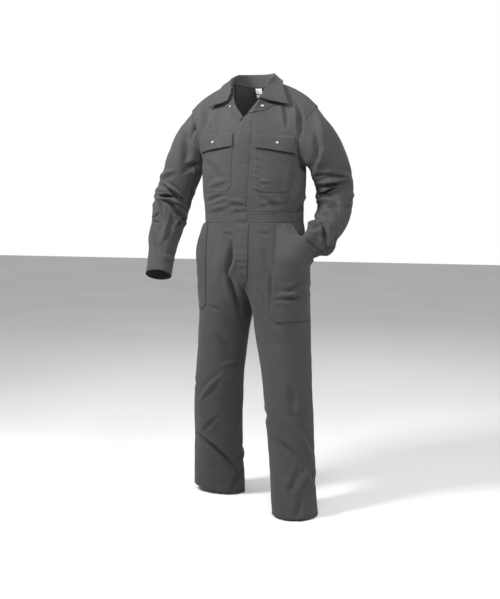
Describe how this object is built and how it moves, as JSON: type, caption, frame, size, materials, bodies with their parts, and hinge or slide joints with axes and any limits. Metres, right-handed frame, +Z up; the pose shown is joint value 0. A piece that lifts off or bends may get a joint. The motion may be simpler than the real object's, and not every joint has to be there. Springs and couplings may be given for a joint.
{
  "type": "boiler suit",
  "caption": "Long-sleeved boiler suit in its worn shape with no wearer: turned-down collar, covered front, elastic waist, flapped chest pockets and slanted hip pockets.",
  "frame": {"origin": "middle of the neck opening, 8 mm above the back neck seam, where the wearer's neck and shoulders carry the garment", "axes": "+Z up along the wearer's height, -Y the way the wearer faces, +X towards the wearer's left"},
  "size_m": [0.7371, 0.3654, 1.5393],
  "materials": {
    "twill": "dry charcoal grey cotton twill",
    "stud": "satin",
    "label": "woven white satin, blank"
  },
  "bodies": {
    "root": {"back": "twill", "front_left": "twill", "front_right": "twill", "sleeve_upper_left": "twill", "sleeve_under_left": "twill", "sleeve_upper_right": "twill", "sleeve_under_right": "twill", "collar": "twill", "lapel_left": "twill", "lapel_right": "twill", "placket": "twill", "waistband_left": "twill", "waistband_right": "twill", "waistband_back": "twill", "waistband_lap": "twill", "fly": "twill", "leg_front_left": "twill", "leg_back_left": "twill", "leg_front_right": "twill", "leg_back_right": "twill", "chest_pocket_left": "twill", "chest_pocket_right": "twill", "chest_flap_left": "twill", "chest_flap_right": "twill", "hip_pocket_left": "twill", "hip_pocket_right": "twill", "stud_lapel_left": "stud", "stud_lapel_right": "stud", "stud_flap_left": "stud", "stud_flap_right": "stud", "label_main": "label", "label_size": "label"}
  },
  "joints": []
}
